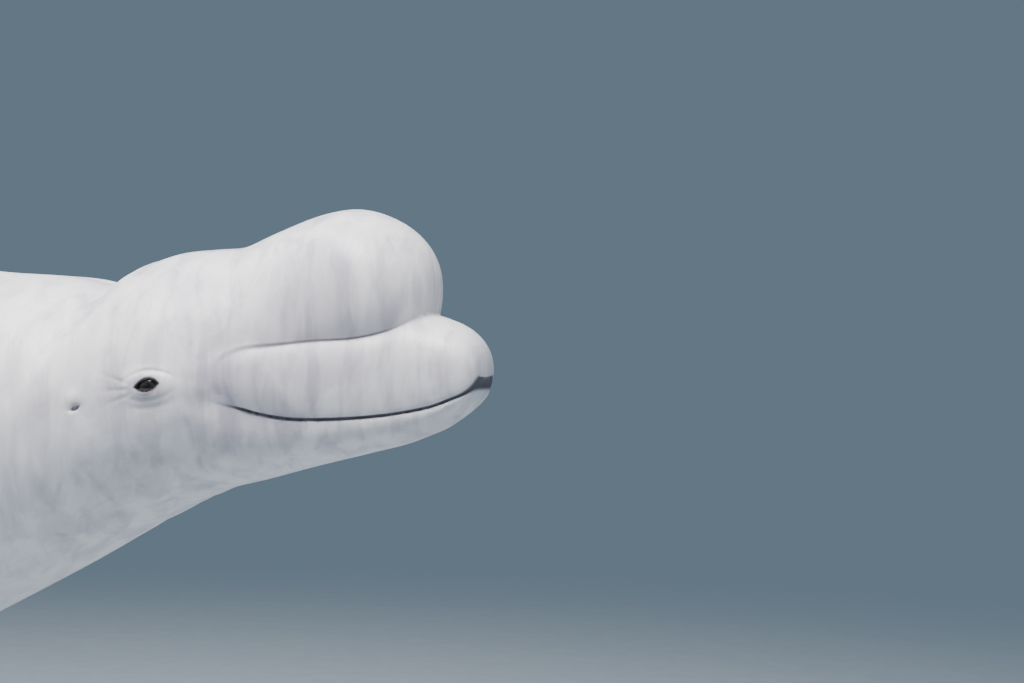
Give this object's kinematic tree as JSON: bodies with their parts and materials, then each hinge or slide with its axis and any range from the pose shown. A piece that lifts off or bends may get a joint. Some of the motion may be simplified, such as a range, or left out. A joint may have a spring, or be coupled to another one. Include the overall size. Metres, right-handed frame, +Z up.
{
  "type": "beluga whale",
  "caption": "Life-size adult beluga whale swimming level, with rounded melon, short beak, paddle flippers and notched flukes, held on rods over a flat display base.",
  "frame": {"origin": "on the floor, under the middle of the bounding box", "axes": "+X towards the snout, +Y towards the whale's left side, +Z up"},
  "size_m": [4.2679, 1.188, 1.1567],
  "materials": {
    "skin": "smooth damp skin, slightly glossy",
    "eye": "glossy, dark",
    "plinth": "satin black paint",
    "steel": "brushed"
  },
  "bodies": {
    "root": {"head": "skin", "melon": "skin", "lower_jaw": "skin", "neck": "skin", "torso": "skin", "tail_stock": "skin", "tail_root": "skin", "flipper_left": "skin", "flipper_right": "skin", "fluke_left": "skin", "fluke_right": "skin", "eye_left": "eye", "eye_right": "eye", "stand_base": "plinth", "stand_rod_front": "steel", "stand_rod_rear": "steel", "stand_bolt_front_1": "steel", "stand_bolt_front_2": "steel", "stand_bolt_front_3": "steel", "stand_bolt_front_4": "steel", "stand_bolt_rear_1": "steel", "stand_bolt_rear_2": "steel", "stand_bolt_rear_3": "steel", "stand_bolt_rear_4": "steel"}
  },
  "joints": []
}
